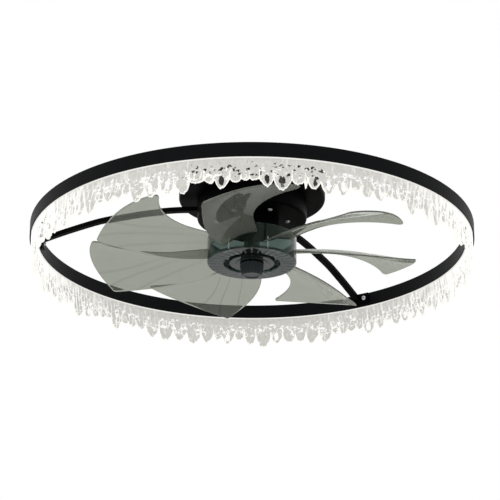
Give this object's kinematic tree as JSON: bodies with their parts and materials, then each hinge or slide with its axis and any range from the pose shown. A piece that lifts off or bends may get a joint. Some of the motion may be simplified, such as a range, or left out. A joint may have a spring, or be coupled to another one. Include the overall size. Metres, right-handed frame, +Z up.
{
  "type": "chandelier ceiling fan",
  "caption": "Low ceiling fan with smoky clear blades turning inside a black ring hung on thin arms, with a band of acrylic icicle drops lit from the ring.",
  "frame": {"origin": "centre of the mounting bracket's top face, which lies on the ceiling", "axes": "+Z up out of the ceiling-side face, along the fan's axis; the whole object hangs below z = 0; +X along the mounting bracket"},
  "size_m": [0.5, 0.5, 0.12],
  "materials": {
    "black_steel": "satin black powder coat",
    "black_aluminium": "satin black",
    "zinc_steel": "zinc plated",
    "bearing_steel": "ground and polished",
    "silicon_steel": "varnished laminations",
    "copper": "enamelled copper wire",
    "ferrite": "sintered, matt",
    "smoked_plastic": "smoky clear, glossy",
    "clear_smoked_plastic": "smoky clear, glossy",
    "knob_plastic": "moulded, satin",
    "acrylic": "clear with bubbles, glossy",
    "led_board": "white solder mask",
    "white_plastic": "moulded, matt",
    "circuit_board": "solder mask"
  },
  "bodies": {
    "ceiling_frame": {"arm_1": "black_steel", "arm_2": "black_steel", "arm_3": "black_steel", "arm_foot_screw_1": "zinc_steel", "arm_foot_screw_2": "zinc_steel", "arm_foot_screw_3": "zinc_steel", "arm_ring_screw_1": "zinc_steel", "arm_ring_screw_2": "zinc_steel", "arm_ring_screw_3": "zinc_steel", "bearing_carrier": "black_steel", "canopy_cap": "black_steel", "canopy_screw_1": "black_steel", "canopy_screw_2": "black_steel", "canopy_shell": "black_steel", "cap_screw_1": "zinc_steel", "cap_screw_2": "zinc_steel", "cap_screw_3": "zinc_steel", "cap_screw_4": "zinc_steel", "cap_screw_5": "zinc_steel", "cap_screw_6": "zinc_steel", "control_board": "circuit_board", "driver_case": "white_plastic", "icicle_ring": "acrylic", "led_strip": "led_board", "lower_bearing_outer_race": "bearing_steel", "motor_screw_1": "zinc_steel", "motor_screw_2": "zinc_steel", "motor_screw_3": "zinc_steel", "mounting_bracket": "zinc_steel", "ring_channel": "black_aluminium", "stator_core": "silicon_steel", "stator_winding": "copper", "terminal_block": "white_plastic", "upper_bearing_outer_race": "bearing_steel"},
    "rotor": {"blade_1": "smoked_plastic", "blade_2": "smoked_plastic", "blade_3": "smoked_plastic", "blade_4": "smoked_plastic", "blade_5": "smoked_plastic", "blade_6": "smoked_plastic", "blade_7": "smoked_plastic", "blade_hub": "clear_smoked_plastic", "lock_knob": "knob_plastic", "lower_bearing_inner_race": "bearing_steel", "magnet_ring": "ferrite", "rotor_bell": "black_steel", "shaft": "bearing_steel", "upper_bearing_inner_race": "bearing_steel"},
    "upper_ball_cage": {"upper_bearing_ball_cage": "bearing_steel"},
    "lower_ball_cage": {"lower_bearing_ball_cage": "bearing_steel"}
  },
  "joints": [
    {"name": "fan_spin", "type": "hinge", "parent": "ceiling_frame", "child": "rotor", "pos_m": [0, 0, -0.075], "axis": [0, 0, 1], "continuous": true},
    {"name": "upper_cage_spin", "type": "hinge", "parent": "ceiling_frame", "child": "upper_ball_cage", "pos_m": [0, 0, -0.0432], "axis": [0, 0, 1], "continuous": true},
    {"name": "lower_cage_spin", "type": "hinge", "parent": "ceiling_frame", "child": "lower_ball_cage", "pos_m": [0, 0, -0.0602], "axis": [0, 0, 1], "continuous": true}
  ],
  "couplings": [
    {"joint": "upper_cage_spin", "follows": "fan_spin", "ratio": 0.3967},
    {"joint": "lower_cage_spin", "follows": "fan_spin", "ratio": 0.3967}
  ]
}
